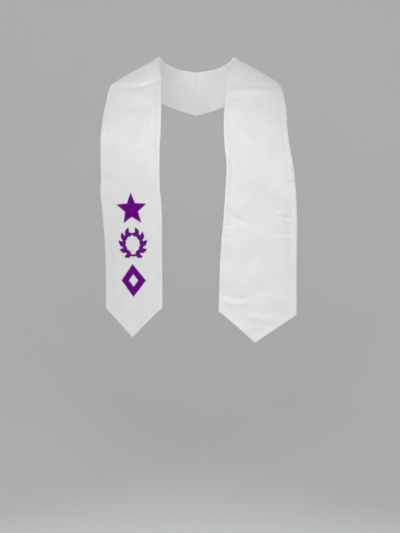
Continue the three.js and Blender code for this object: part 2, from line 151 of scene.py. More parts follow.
RIGHT_CREASES = [
    (4.68, 0.56, 16, 26, 1.5, 0.35, 0.0),
    (5.32, 0.5, 13, 44, 3.0, 0.35, 0.0),
    (5.95, 0.2, 8, 14, 2.4, 0.2, 0.0),
    (7.75, 0.06, 0, 8, 2.2, -0.3, 0.0),
    (8.95, 0.95, -55, 4, 2.0, 0.45, 0.0),
    (9.42, 0.94, 0, 4, 2.2, 0.45, 0.0),
    (9.2, 0.95, 0, 5, 2.0, -0.3, 0.0),
    (10.1, 0.02, 0, 5, 2.4, 0.2, 0.0),
    (10.95, 0.15, -35, 20, 2.2, 0.65, -2.5),
    (11.15, 0.15, -37, 17, 3.0, -0.65, -1.8),
    (11.49, 0.06, 4, 7, 2.0, -0.35, 0.0),
    (11.66, 0.05, 6, 6, 1.8, 0.2, 0.0),
    (11.85, 0.07, 2, 7, 1.8, 0.25, 0.0),
    (10.8, 0.78, 4, 6, 2.2, -0.4, 0.0),
    (10.98, 0.8, -4, 9, 2.2, 0.65, 0.0),
    (11.13, 0.83, -6, 11, 1.9, -0.5, 0.0),
    (11.26, 0.84, -16, 10, 1.9, 0.4, 0.0),
    (11.43, 0.86, -28, 11, 2.0, -0.6, 0.0),
    (11.62, 0.84, -34, 10, 2.2, 0.65, 0.0),
    (11.82, 0.84, -8, 12, 2.2, -0.3, 0.0),
    (11.99, 0.8, -2, 14, 2.4, 0.5, 0.0),
    (14.7, 0.2, -4, 24, 2.4, 0.5, -3.0),
    (14.46, 0.2, -4, 22, 4.5, -0.5, -3.0),
    (14.35, 0.64, -8, 20, 2.0, 0.3, 2.0),
    (14.2, 0.66, -6, 20, 2.2, -0.25, 0.0),
    (14.86, 0.8, -22, 12, 2.0, 0.3, 0.0),
    (15.0, 0.54, -10, 17, 3.0, -0.5, 1.0),
    (15.2, 0.54, -10, 19, 2.6, 0.75, 1.0),
    (15.5, 0.5, 4, 12, 1.8, 0.25, 0.0),
    (15.75, 0.5, -6, 7, 1.8, 0.25, 0.0),
]
MILLIMETRE = 0.001
CREASE_HEIGHT = 0.0024

# Seams and the cloth's own unevenness
ALLOWANCE_WIDTH = 0.0058
ALLOWANCE_SLOPE = 0.0016
ALLOWANCE_HEIGHT = 0.00042
SEAM_GROOVE = 0.4
SEAM_GROOVE_WIDTH = 0.0012
EDGE_GROOVE = 0.16
EDGE_GROOVE_ANGLE = 0.3
PUCKER_HEIGHT = 0.00042
PUCKER_LENGTH = 0.0095
PUCKER_REACH = 0.006
PUCKER_WANDER = 2.2
WANDER_SHARES = (0.6, 0.4)
WANDER_LENGTHS = (0.083, 0.031)
SWELL_SHARES = (0.55, 0.45)
SWELL_LENGTH = 0.117
WAVE_HEIGHT = 0.00028
WAVE_LENGTHS = (0.014, 0.06)
WAVE_HEADINGS = 0.9
WAVES = 48
WAVE_SEED = 5

# Fineness of the halves' meshes and of what is measured on them
ROWS = 420
COLUMNS = 96
SEAM_ROWS = (0.0, 0.0004, 0.0008, 0.0013)
RIM_STEPS = 6
BENT_SECTIONS = 2
SLOPE_STEP = 0.004
LENGTH_STEPS = 400
NEWTON_ROUNDS = 5

# Ornaments: their size, their pitch and where they lie on the left panel
APPLIQUE_WIDTH = 0.066
APPLIQUE_HEIGHT = 0.058
APPLIQUE_HALF = np.array([APPLIQUE_WIDTH / 2, APPLIQUE_HEIGHT / 2])
APPLIQUE_PITCH = 0.0657
LOWEST_APPLIQUE_RISE = 0.0495
APPLIQUE_ACROSS = 0.48

# Their outlines, in shares of half an ornament, and angles in degrees
STAR_POINTS = 5
STAR_WAIST = 0.45
STAR_CENTRE = 0.02
LOZENGE_WIDTH = 0.9
LOZENGE_HOLE = 0.42
WREATH_RADIUS = 0.72
STEM_WIDTH = 0.13
STEM_ROWS = 60
STEM_COLUMNS = 7
LEAF_LENGTH = 0.5
LEAF_WIDTH = 0.26
LEAF_FULLNESS = 0.8
LEAF_TAPER = 0.4
LEAF_ROWS = 19
LEAF_COLUMNS = 9
LEAF_PAIRS = 5
LEAF_LEAN = 30
SPRIG_SWEEP = 158
SPRIG_CROSSING = 10

# Twill and the threads sewn over it: heights over the satin, and shares along a thread
TWILL_THICKNESS = 0.0007
TWILL_FOOT = 0.00004
TWILL_STEP = 0.0011
TWILL_RINGS = 14
THREAD_PITCH = 0.00042
THREAD_HALF_WIDTH = 0.00025
THREAD_HALF_HEIGHT = 0.00019
BORDER_WIDTH = 0.0026
BORDER_OUTSIDE = 0.0007
THREAD_SIDES = 5
THREAD_SPANS = 6
THREAD_END = 0.55
THREAD_TAPER = 0.4
THREAD_END_FROM = 0.8
THREAD_LIFT = 0.0003
BORDER_LIFT = 0.0003
BORDER_CLIMB = (-0.05, 0.42)
BORDER_SINK = 0.0001
BORDER_DIP = 0.0004
ARCH_SPAN = 0.88
ARCH_TAPER = 0.7
STEM_HEIGHT = 0.001
STEM_ARCH_START = 0.06
STEM_THREAD_LEAN = 3.5
LEAF_HEIGHT = 0.0011
LEAF_THREAD_DEPTH = 0.00035
LEAF_ARCH_START = 0.12
LEAF_ROOT_RISE = 0.25
LEAF_LEAST_WIDTH = 0.15
LEAF_CLOSENESS = 1.05
LEAF_VEIN = (-0.12, 0.99)
LEAF_SLANT = 0.2
LEAF_OVERHANG = 0.012
VEIN_HALF_WIDTH = 0.004

# Places in an ornament's list of materials
TWILL_KIND = 0
THREAD_KIND = 1

# Materials, with noises as scale and detail, bumps as distance and strength, roughness as least and added
SATIN_PITCH = 0.0003
SATIN_TIE_ROUND = 5
SATIN_TIE_SHIFT = 2
SATIN_DARK = (0.783, 0.778, 0.776)
SATIN_LIGHT = (0.838, 0.832, 0.824)
SATIN_TONES = (0.3, 0.7)
SATIN_STREAKS = (240, 3, (1, 0.05, 1))
SATIN_STREAK_SHARE = 0.15
SATIN_CLOUDS = (28, 4)
SATIN_CRUMPLE = (70, 5)
SATIN_CRUMPLE_BUMP = (0.0006, 0.35)
SATIN_WEAVE_BUMP = (0.00002, 0.8)
SATIN_ROUGHNESS = (0.29, 0.08)
SATIN_SPECULAR = 0.9
SATIN_ANISOTROPY = 0.5
TWILL_PITCH = 0.0008
TWILL_SLANT = 0.8
TWILL_CROSS_PITCH = 0.6
TWILL_CROSS_SHARE = 0.3
TWILL_WEAVE_SHARE = 0.1
TWILL_DARK = (0.125, 0.0004, 0.19)
TWILL_LIGHT = (0.18, 0.0006, 0.27)
TWILL_TONES = (0.3, 0.75)
TWILL_CLOUDS = (160, 4)
TWILL_BUMP = (0.00006, 0.7)
TWILL_ROUGHNESS = (0.62, 0.15)
TWILL_SPECULAR = 0.05
THREAD_TWIST_AROUND = 0.0005
THREAD_TWIST_ALONG = 0.0009
THREAD_DARK = (0.14, 0.0004, 0.21)
THREAD_LIGHT = (0.21, 0.001, 0.31)
THREAD_TONES = (0.3, 0.7)
THREAD_CLOUDS = (900, 2)
THREAD_BUMP = (0.00003, 0.5)
THREAD_ROUGHNESS = (0.36, 0.1)
THREAD_SPECULAR = 0.15
STUDIO_DARK = (0.69, 0.695, 0.705)
STUDIO_LIGHT = (0.715, 0.72, 0.73)
STUDIO_TONES = (0.3, 0.7)
STUDIO_CLOUDS = (1.1, 2)
STUDIO_ROUGHNESS = 0.9
STUDIO_SPECULAR = 0.1

# Camera, level with the middle of the picture and straight ahead
CAMERA_PLACE = (0.0063, -2.9, -0.3887)
CAMERA_LENS = 105
CAMERA_REACH = 50

# A round studio: a flat floor that curves up into a wall
FLOOR_LEVEL = -1.4
FLOOR_RADIUS = 2.7
WALL_RADIUS = 4.3
WALL_TOP = 3.2
FLOOR_STEPS = 4
FILLET_STEPS = 16
STUDIO_TURNS = 96

# Lights: name, place, aim, size, power
LIGHTS = [
    ("front", (-0.2, -3.3, 0.2), (0, -0.05, -0.25), 1.2, 14),
    ("left", (-1.75, -2.95, 1.2), (0, -0.05, -0.3), 2.8, 41),
    ("right", (2.0, -2.7, 1.8), (0, -0.05, -0.3), 2.8, 25),
    ("back_left", (-1.5, 2.3, 0.2), (0, 0, -0.3), 1.4, 30),
    ("back_right", (1.5, 2.3, 0.2), (0, 0, -0.3), 1.4, 30),
]
AIR_STRENGTH = 0.4

WIDTH_COLUMN = 5
SHOULDER_SECTION = len(NECK_SECTIONS) - 1
CORNER_SECTION = SHOULDER_SECTION + len(FRONT_SECTIONS)


def smoothstep(value, low, high):
    share = np.clip((value - low) / (high - low), 0, 1)
    return share * share * (3 - 2 * share)


def unit(vectors):
    return vectors / np.linalg.norm(vectors, axis=-1, keepdims=True)


def sections_of(drop, bow, point_swing, hang):
    """Rows of x, y, z, turn, dip, width and bow, with x counted outwards and one row more for the point."""
    rows = []
    for out, back, down, turn, dip, wide, neck_bow in NECK_SECTIONS:
        spot = (out * NECK_HALF_WIDTH, back * NAPE_SETBACK, -down * NAPE_DROP)
        width = NECK_BAND_WIDTH + wide * (END_WIDTH - NECK_BAND_WIDTH)
        rows.append((*spot, math.radians(turn), math.radians(dip), width, neck_bow))
    for (down, ahead, wide), (out, turn, dip) in zip(FRONT_SECTIONS, hang):
        spot = (out * NECK_HALF_WIDTH, -ahead * CHEST_REACH, -down * drop)
        width = NECK_BAND_WIDTH + wide * (END_WIDTH - NECK_BAND_WIDTH)
        rows.append((*spot, math.radians(turn), math.radians(dip), width, bow))
    x, y, z, *rest = rows[-1]
    rows.append((x - point_swing, y, z - POINT_DROP, *rest))
    return np.array(rows)


def curve_at(rows, place):
    """A smooth curve through rows of values, at places counted in rows."""
    last = len(rows) - 1
    step = np.clip(np.floor(place).astype(int), 0, last - 1)
    t = (place - step)[..., None]
    padded = np.vstack([2 * rows[0] - rows[1], rows, 2 * rows[-1] - rows[-2]])
    before, here, there, after = (padded[step + k] for k in range(4))
    slope_here = (there - before) / 2
    slope_there = (after - here) / 2
    return (
        (2 * t**3 - 3 * t**2 + 1) * here
        + (t**3 - 2 * t**2 + t) * slope_here
        + (3 * t**2 - 2 * t**3) * there
        + (t**3 - t**2) * slope_there
    )


def flat_point(half, place, across):
    """The middle of the cloth before its folds, with x counted outwards."""
    x, y, z, turn, dip, width, bow = np.moveaxis(curve_at(half["sections"], place), -1, 0)
    level_x, level_y = np.cos(turn), np.sin(turn)
    section = np.stack([level_x * np.cos(dip), level_y * np.cos(dip), -np.sin(dip)], -1)
    bulge = np.stack([level_x * np.sin(dip), level_y * np.sin(dip), np.cos(dip)], -1)
    facing = np.stack([level_y, -level_x, 0 * turn], -1)
    on_chest = smoothstep(place, SHOULDER_SECTION - 1, SHOULDER_SECTION + 2)[..., None]
    out = unit(bulge * (1 - on_chest) + facing * on_chest)
    bulged = (4 * bow * width * across * (1 - across))[..., None] * out
    return np.stack([x, y, z], -1) + section * (width * across)[..., None] + bulged


def ridges(half, table, units, place, across):
    """The height of folds or creases. units are the sizes that long, wide and high are counted in."""
    section_length = half["drop"] / len(FRONT_SECTIONS)
    long_unit, wide_unit, high_unit = units
    height = np.zeros(np.shape(place))
    for at, middle, lean, long, wide, high, *sag in table:
        lean = math.radians(lean)
        rise = (at - place) * section_length
        sideways = (across - middle) * END_WIDTH
        along = (sideways * math.cos(lean) + rise * math.sin(lean)) / (long * long_unit)
        off = rise * math.cos(lean) - sideways * math.sin(lean)
        if sag:
            off = off + sag[0] * MILLIMETRE * along**2
        height = height + high * high_unit * np.exp(-(along**2) - (off / (wide * wide_unit)) ** 2)
    return height


def width_at(half, place):
    return curve_at(half["sections"], place)[..., WIDTH_COLUMN]


def length_along(half, place):
    """Metres down the middle of a half from the centre back."""
    return np.interp(place, half["places"], half["lengths"])


def edge_distance(half, place, across):
    """Metres from the nearest free edge."""
    side = np.minimum(across, 1 - across) * width_at(half, place)
    to_end = (CORNER_SECTION + 1 - np.abs(2 * across - 1) - place) * POINT_DROP
    slant = math.atan2(POINT_DROP, END_WIDTH / 2)
    return np.minimum(side, to_end * math.cos(slant))


def unevenness(half, place, across):
    """Low waves all over, and puckers that fade away from the sewn edges."""
    width = width_at(half, place)
    along = length_along(half, place)
    sideways = (across - 0.5) * width
    rng = np.random.default_rng(WAVE_SEED + half["side"])
    height = np.zeros(np.shape(place))
    for _ in range(WAVES):
        heading = rng.normal(0, WAVE_HEADINGS)
        length = rng.uniform(*WAVE_LENGTHS)
        phase = rng.uniform(0, 2 * math.pi)
        travel = (along * math.cos(heading) + sideways * math.sin(heading)) / length
        height += np.sin(2 * math.pi * travel + phase) * length / WAVE_LENGTHS[1]
    waves = WAVE_HEIGHT * height / math.sqrt(WAVES / 2)
    puckers = 0
    for edge, start in ((across, rng.uniform(0, 1)), (1 - across, rng.uniform(0, 1))):
        slow = np.sin(2 * math.pi * (along / WANDER_LENGTHS[0] + start))
        quick = np.sin(2 * math.pi * along / WANDER_LENGTHS[1])
        wander = WANDER_SHARES[0] * slow + WANDER_SHARES[1] * quick
        swell = np.sin(2 * math.pi * (along / SWELL_LENGTH + 2 * start))
        strength = SWELL_SHARES[0] + SWELL_SHARES[1] * swell
        ripple = np.sin(2 * math.pi * along / PUCKER_LENGTH + PUCKER_WANDER * wander)
        puckers = puckers + strength * ripple * np.exp(-edge * width / PUCKER_REACH)
    return waves + PUCKER_HEIGHT * puckers


def relief(half, place, across):
    folds = ridges(half, half["folds"], (END_WIDTH, FOLD_WIDTH, FOLD_HEIGHT), place, across)
    creases = ridges(half, half["creases"], (MILLIMETRE, MILLIMETRE, CREASE_HEIGHT), place, across)
    return folds + creases + unevenness(half, place, across)


def way_out(surface, place, across):
    """The way out of the face of a surface, with x counted outwards."""
    along = surface(place + SLOPE_STEP, across) - surface(place - SLOPE_STEP, across)
    sideways = surface(place, across + SLOPE_STEP) - surface(place, across - SLOPE_STEP)
    return unit(np.cross(along, sideways))


def cloth_point(half, place, across):
    """The middle of the folded cloth, with x counted outwards."""
    def flat(p, a):
        return flat_point(half, p, a)

    return flat(place, across) + way_out(flat, place, across) * relief(half, place, across)[..., None]


def face_lift(half, place, across):
    """How far the face of the cloth stands off its middle: thicker over the turned seam allowances."""
    allowance = 1 - smoothstep(
        edge_distance(half, place, across), ALLOWANCE_WIDTH, ALLOWANCE_WIDTH + ALLOWANCE_SLOPE
    )
    groove = np.exp(-((length_along(half, place) / SEAM_GROOVE_WIDTH) ** 2))
    return (CLOTH_THICKNESS / 2 + ALLOWANCE_HEIGHT * allowance) * (1 - SEAM_GROOVE * groove)


def half_of(side, drop, bow, point_swing, hang, folds, creases):
    half = {"sections": sections_of(drop, bow, point_swing, hang)}
    half.update(side=side, drop=drop, folds=folds, creases=creases)
    places = np.linspace(0, CORNER_SECTION + 1, LENGTH_STEPS)
    middle = flat_point(half, places, np.full(places.shape, 0.5))
    steps = np.linalg.norm(np.diff(middle, axis=0), axis=1)
    half.update(places=places, lengths=np.concatenate([[0], np.cumsum(steps)]))
    return half


def mesh_piece(name, corners, faces, uvs, materials, flat_faces=(), face_materials=None):
    """A smooth-shaded mesh with one UV, in metres of cloth, for each corner."""
    mesh = bpy.data.meshes.new(name)
    mesh.from_pydata(np.asarray(corners).tolist(), [], faces)
    layer = mesh.uv_layers.new(name="cloth")
    corner_of = np.empty(len(mesh.loops), int)
    mesh.loops.foreach_get("vertex_index", corner_of)
    layer.data.foreach_set("uv", np.asarray(uvs, float)[corner_of].ravel())
    smooth = np.ones(len(mesh.polygons), bool)
    smooth[list(flat_faces)] = False
    mesh.polygons.foreach_set("use_smooth", smooth)
    for material in materials:
        mesh.materials.append(material)
    if face_materials is not None:
        mesh.polygons.foreach_set("material_index", face_materials)
    mesh.update()
    piece = bpy.data.objects.new(name, mesh)
    bpy.context.scene.collection.objects.link(piece)
    return piece


def grid_faces(first, rows, columns, flip=False):
    """Quads over a grid of corners that is numbered row by row."""
    number = first + np.arange(rows * columns).reshape(rows, columns)
    quads = np.stack([number[:-1, :-1], number[1:, :-1], number[1:, 1:], number[:-1, 1:]], -1).reshape(-1, 4)
    return quads[:, ::-1] if flip else quads


def place_grid(half):
    """Places and shares across of a half's corners, row by row, with its end bent to a point."""
    total = half["lengths"][-1]
    inset_along = CLOTH_THICKNESS / 2 / (half["drop"] + POINT_DROP)
    inset_across = CLOTH_THICKNESS / 2 / END_WIDTH
    # The first rows are set closely, for the groove of the centre-back seam.
    lengths = np.concatenate([SEAM_ROWS, np.linspace(0, total - POINT_DROP, ROWS + 1)[2:]])
    section = np.interp(lengths, half["lengths"], half["places"]) * (1 - inset_along)
    across = inset_across + np.linspace(0, 1, COLUMNS + 1) * (1 - 2 * inset_across)
    section, across = np.meshgrid(section, across, indexing="ij")
    bend = smoothstep(section, CORNER_SECTION - BENT_SECTIONS, CORNER_SECTION * (1 - inset_along))
    return section + bend * (1 - np.abs(2 * across - 1)), across


def edge_rings(spots, outs, lifts, uv):
    """Corners and UVs of the rings along the rolled edge, between the face and the back."""
    push = unit(np.cross(np.gradient(spots, axis=0), outs))
    push[[0, -1], 0] = 0
    push = unit(push)
    rings = []
    uvs = []
    for k in range(1, RIM_STEPS):
        angle = math.pi * k / RIM_STEPS
        roll = 1 - EDGE_GROOVE * math.exp(-(((angle - math.pi / 2) / EDGE_GROOVE_ANGLE) ** 2))
        rings.append(spots + lifts * (outs * math.cos(angle) + push * math.sin(angle) * roll))
        uvs.append(uv + np.sign(uv * [1, 0]) * CLOTH_THICKNESS / 2 * math.sin(angle))
    return rings, uvs


def half_piece(name, half, material):
    """One half as a closed shell with rolled edges, fine enough for its creases and seam allowances."""
    place, across = place_grid(half)
    middle = cloth_point(half, place, across)
    out = way_out(lambda p, a: cloth_point(half, p, a), place, across)
    # Both halves end in flat faces that meet along the centre-back seam.
    middle[0, :, 0] = 0
    out[0, :, 0] = 0
    out = unit(out)
    lift = face_lift(half, place, across)[..., None]
    rows, columns = place.shape
    count = rows * columns
    sideways = (across - 0.5) * width_at(half, place)
    uv = np.stack([sideways, length_along(half, place)], -1).reshape(-1, 2)
    corners = [(middle + out * lift).reshape(-1, 3), (middle - out * lift).reshape(-1, 3)]
    uvs = [uv, uv]
    faces = [grid_faces(0, rows, columns), grid_faces(count, rows, columns, flip=True)]

    # The rolled edge runs down the inner edge, round the end and up the outer edge.
    number = np.arange(count).reshape(rows, columns)
    loop = np.concatenate([number[:-1, 0], number[-1, :], number[-2::-1, -1]])
    spots = middle.reshape(-1, 3)[loop]
    outs = out.reshape(-1, 3)[loop]
    ring_corners, ring_uvs = edge_rings(spots, outs, lift.reshape(-1, 1)[loop], uv[loop])
    corners += ring_corners
    uvs += ring_uvs
    rings = [loop]
    for k in range(1, RIM_STEPS):
        rings.append(2 * count + (k - 1) * len(loop) + np.arange(len(loop)))
    rings.append(count + loop)
    for upper, lower in zip(rings, rings[1:]):
        faces.append(np.stack([upper[:-1], lower[:-1], lower[1:], upper[1:]], -1))
    faces = np.concatenate(faces)

    # The flat face in the centre-back seam closes the shell.
    start = [ring[0] for ring in rings]
    finish = [ring[-1] for ring in rings]
    cap = [*number[0, :], *finish[1:-1], *(count + number[0, ::-1]), *reversed(start[1:-1])]
    faces = [*faces.tolist(), [int(corner) for corner in cap]]
    corners = np.concatenate(corners)
    if half["side"] < 0:
        corners[:, 0] *= -1
        faces = [face[::-1] for face in faces]
    return mesh_piece(name, corners, faces, np.concatenate(uvs), [material], flat_faces=[len(faces) - 1])


def ornament_frame(half, rise):
    """An ornament's middle on the left panel, and the ways inward and upward that its outline is drawn in."""
    z = half["sections"][:, 2]
    below = int(np.argmax(z < rise - half["drop"]))
    place = below - 1 + (z[below - 1] - rise + half["drop"]) / (z[below - 1] - z[below])

    def spot(p, a):
        return flat_point(half, np.array(p), np.array(a))

    middle = spot(place, APPLIQUE_ACROSS)
    inward = unit(spot(place, APPLIQUE_ACROSS - SLOPE_STEP) - middle)
    upward = unit(spot(place - SLOPE_STEP, APPLIQUE_ACROSS) - middle)
    out = unit(np.cross(upward, inward))
    return {"place": place, "middle": middle, "inward": inward, "upward": np.cross(inward, out)}


def on_cloth(half, frame_at, drawn):
    """Places and shares across of points that are drawn in an ornament's frame, in metres."""
    place = np.full(drawn.shape[:-1], frame_at["place"])
    across = np.full(drawn.shape[:-1], APPLIQUE_ACROSS)

    def seen(p, a):
        offset = flat_point(half, p, a) - frame_at["middle"]
        return np.stack([offset @ frame_at["inward"], offset @ frame_at["upward"]], -1)

    for _ in range(NEWTON_ROUNDS):
        miss = drawn - seen(place, across)
        by_place = (seen(place + SLOPE_STEP, across) - seen(place - SLOPE_STEP, across)) / (2 * SLOPE_STEP)
        by_across = (seen(place, across + SLOPE_STEP) - seen(place, across - SLOPE_STEP)) / (2 * SLOPE_STEP)
        size = by_place[..., 0] * by_across[..., 1] - by_place[..., 1] * by_across[..., 0]
        place = place + (miss[..., 0] * by_across[..., 1] - miss[..., 1] * by_across[..., 0]) / size
        across = across + (by_place[..., 0] * miss[..., 1] - by_place[..., 1] * miss[..., 0]) / size
    return place, across


def over_satin(half, frame_at, drawn, height):
    """Points at a height over the face of the satin, with x counted outwards, and the way out at each."""
    place, across = on_cloth(half, frame_at, drawn)
    out = way_out(lambda p, a: flat_point(half, p, a), place, across)
    lift = face_lift(half, place, across) + height
    return cloth_point(half, place, across) + out * lift[..., None], out


class Pile:
    """Corners, faces and UVs of one ornament, built up part by part."""

    def __init__(self):
        self.corners = []
        self.faces = []
        self.uvs = []
        self.kinds = []
        self.count = 0

    def add(self, corners, faces, uvs, kind):
        """Adds a part whose corners have x counted outwards on the left panel."""
        self.corners.append(corners.reshape(-1, 3) * [-1, 1, 1])
        self.uvs.append(uvs.reshape(-1, 2))
        self.faces.extend((np.asarray(faces) + self.count).tolist())
        self.kinds.extend([kind] * len(faces))
        self.count += len(self.corners[-1])

    def piece(self, name, materials):
        return mesh_piece(
            name, np.concatenate(self.corners), self.faces, np.concatenate(self.uvs), materials,
            face_materials=self.kinds,
        )


def add_patch(pile, half, frame_at, rings):
    """Twill between closed outlines, given from the innermost to the outermost, each with a height."""
    drawn = np.stack([spots for spots, _ in rings])
    heights = np.stack([np.full(len(spots), height) for spots, height in rings])
    corners, _ = over_satin(half, frame_at, drawn, heights)
    rows, columns = heights.shape
    number = np.arange(rows * columns).reshape(rows, columns)
    around = np.roll(number, -1, axis=1)
    faces = np.stack([number[:-1], number[1:], around[1:], around[:-1]], -1).reshape(-1, 4)
    pile.add(corners, faces, drawn, TWILL_KIND)


def add_threads(pile, half, frame_at, starts, ends, heights):
    """Flattened tubes of thread from starts to ends. heights are over the satin, along each thread."""
    count, rings = heights.shape
    share = np.linspace(0, 1, rings)
    drawn = starts[:, None] + (ends - starts)[:, None] * share[None, :, None]
    spots, out = over_satin(half, frame_at, drawn, heights)
    heading = unit(np.gradient(spots, axis=1))
    sideways = unit(np.cross(heading, out))
    upward = np.cross(sideways, heading)
    taper = THREAD_END + (1 - THREAD_END) * np.sin(math.pi * share) ** THREAD_TAPER
    angles = 2 * math.pi * np.arange(THREAD_SIDES) / THREAD_SIDES
    ring = (
        sideways[:, :, None] * np.cos(angles)[None, None, :, None] * THREAD_HALF_WIDTH
        + upward[:, :, None] * np.sin(angles)[None, None, :, None] * THREAD_HALF_HEIGHT
    )
    corners = spots[:, :, None] + ring * taper[None, :, None, None]
    number = np.arange(count * rings * THREAD_SIDES).reshape(count, rings, THREAD_SIDES)
    around = np.roll(number, -1, axis=2)
    faces = np.stack([number[:, :-1], around[:, :-1], around[:, 1:], number[:, 1:]], -1).reshape(-1, 4)
    run = np.linalg.norm(np.diff(spots, axis=1), axis=-1).cumsum(axis=1)
    run = np.concatenate([np.zeros((count, 1)), run], axis=1)
    turn = np.broadcast_to(2 * THREAD_HALF_WIDTH * angles / math.pi, number.shape)
    uvs = np.stack([turn, np.broadcast_to(run[:, :, None], turn.shape)], -1)
    pile.add(corners, faces, uvs, THREAD_KIND)


def outline_points(spots, step):
    """A closed outline with points at even steps. Its corners are kept."""
    points = []
    for start, end in zip(spots, np.roll(spots, -1, axis=0)):
        steps = max(2, round(float(np.linalg.norm(end - start)) / step))
        points.append(start + (end - start) * (np.arange(steps) / steps)[:, None])
    return np.concatenate(points)


def offset_outline(spots, distance):
    """The corners of an outline moved outwards, mitred."""
    before = unit(spots - np.roll(spots, 1, axis=0))
    after = unit(np.roll(spots, -1, axis=0) - spots)
    way_before = np.stack([before[:, 1], -before[:, 0]], -1)
    way_after = np.stack([after[:, 1], -after[:, 0]], -1)
    mitre = way_before + way_after
    mitre = mitre / np.sum(mitre * way_after, axis=-1, keepdims=True)
    return spots + mitre * distance


def add_border(pile, half, frame_at, spots):
    """Satin stitch over the raw edge of an outline: threads side by side across it."""
    outer = offset_outline(spots, BORDER_OUTSIDE)
    inner = offset_outline(spots, BORDER_OUTSIDE - BORDER_WIDTH)
    outer_sides = np.roll(outer, -1, axis=0) - outer
    inner_sides = np.roll(inner, -1, axis=0) - inner
    starts = []
    ends = []
    for k in range(len(spots)):
        length = float(np.linalg.norm(outer_sides[k]) + np.linalg.norm(inner_sides[k])) / 2
        steps = max(2, round(length / THREAD_PITCH))
        shares = ((np.arange(steps) + 0.5) / steps)[:, None]
        starts.append(outer[k] + outer_sides[k] * shares)
        ends.append(inner[k] + inner_sides[k] * shares)
    starts = np.concatenate(starts)
    share = np.linspace(0, 1, THREAD_SPANS + 1)
    climb = (TWILL_THICKNESS + BORDER_LIFT) * smoothstep(share, *BORDER_CLIMB)
    height = climb - BORDER_SINK - BORDER_DIP * smoothstep(share, THREAD_END_FROM, 1)
    heights = np.broadcast_to(height, (len(starts), len(share)))
    add_threads(pile, half, frame_at, starts, np.concatenate(ends), heights)


def star_outline():
    lowest = math.cos(math.pi / STAR_POINTS)
    spots = []
    for k in range(2 * STAR_POINTS):
        radius = STAR_WAIST if k % 2 else 1
        angle = math.pi / 2 + math.pi * k / STAR_POINTS
        spots.append((radius * math.cos(angle), radius * math.sin(angle) - (1 - lowest) / 2))
    return np.array(spots) * APPLIQUE_HALF


def lozenge_outline(size):
    spots = [(0, size), (-LOZENGE_WIDTH * size, 0), (0, -size), (LOZENGE_WIDTH * size, 0)]
    return np.array(spots) * APPLIQUE_HALF


def star_piece(half, rise, materials):
    frame_at = ornament_frame(half, rise)
    pile = Pile()
    spots = outline_points(star_outline(), TWILL_STEP)
    middle = spots.mean(axis=0)
    rings = []
    for share in np.linspace(STAR_CENTRE, 1, TWILL_RINGS):
        rings.append((middle + (spots - middle) * share, TWILL_THICKNESS))
    rings.append((spots, TWILL_FOOT))
    add_patch(pile, half, frame_at, rings)
    add_border(pile, half, frame_at, star_outline())
    return pile.piece("star_applique_cloth", materials)


def lozenge_piece(half, rise, materials):
    frame_at = ornament_frame(half, rise)
    pile = Pile()
    outer = lozenge_outline(1)
    inner = lozenge_outline(LOZENGE_HOLE)
    spots = outline_points(outer, TWILL_STEP)
    rings = [(spots * LOZENGE_HOLE, TWILL_FOOT)]
    for share in np.linspace(LOZENGE_HOLE, 1, TWILL_RINGS):
        rings.append((spots * share, TWILL_THICKNESS))
    rings.append((spots, TWILL_FOOT))
    add_patch(pile, half, frame_at, rings)
    add_border(pile, half, frame_at, outer)
    add_border(pile, half, frame_at, inner[::-1])
    return pile.piece("lozenge_applique_cloth", materials)


def thread_arch(start):
    """The rise along a padded thread, which starts at a share of its arch."""
    share = np.linspace(0, 1, THREAD_SPANS + 1)
    return np.sin(math.pi * (start + ARCH_SPAN * share)) ** ARCH_TAPER


def add_leaf(pile, half, frame_at, root, angle):
    """A padded leaf in two rows of slanting satin stitch that meet in its vein."""
    turn = np.array([[math.cos(angle), math.sin(angle)], [-math.sin(angle), math.cos(angle)]])

    def drawn(share, sideways):
        local = np.stack([share * LEAF_LENGTH, sideways], -1)
        return (local @ turn + root) * APPLIQUE_HALF

    def half_width(share):
        inside = np.clip(share, 0, 1)
        return LEAF_WIDTH * np.sin(math.pi * inside**LEAF_FULLNESS) / 2

    along, side = np.meshgrid(np.linspace(0, 1, LEAF_ROWS), np.linspace(-1, 1, LEAF_COLUMNS), indexing="ij")
    crown = np.sqrt(np.clip(1 - side**2, 0, 1)) * np.sin(math.pi * along) ** LEAF_TAPER
    padding = drawn(along, side * half_width(along))
    corners, _ = over_satin(half, frame_at, padding, TWILL_FOOT + (LEAF_HEIGHT - LEAF_THREAD_DEPTH) * crown)
    pile.add(corners, grid_faces(0, *along.shape, flip=True), padding, TWILL_KIND)

    steps = round(LEAF_LENGTH * APPLIQUE_HEIGHT / 2 * LEAF_CLOSENESS / THREAD_PITCH)
    starts = np.linspace(*LEAF_VEIN, steps)
    reach = np.clip(starts + LEAF_SLANT, 0, 1)
    width = np.clip(half_width(reach) / (LEAF_WIDTH / 2), LEAF_LEAST_WIDTH, 1)
    arch = LEAF_ROOT_RISE + (1 - LEAF_ROOT_RISE) * thread_arch(LEAF_ARCH_START)
    sink = THREAD_LIFT * smoothstep(np.linspace(0, 1, THREAD_SPANS + 1), THREAD_END_FROM, 1)
    heights = THREAD_LIFT + (LEAF_HEIGHT - THREAD_LIFT) * width[:, None] * arch - sink
    for sign in (-1, 1):
        vein = drawn(np.clip(starts, 0, 1), np.full(steps, sign * VEIN_HALF_WIDTH))
        edge = drawn(reach, sign * (half_width(reach) + LEAF_OVERHANG))
        add_threads(pile, half, frame_at, vein, edge, heights)


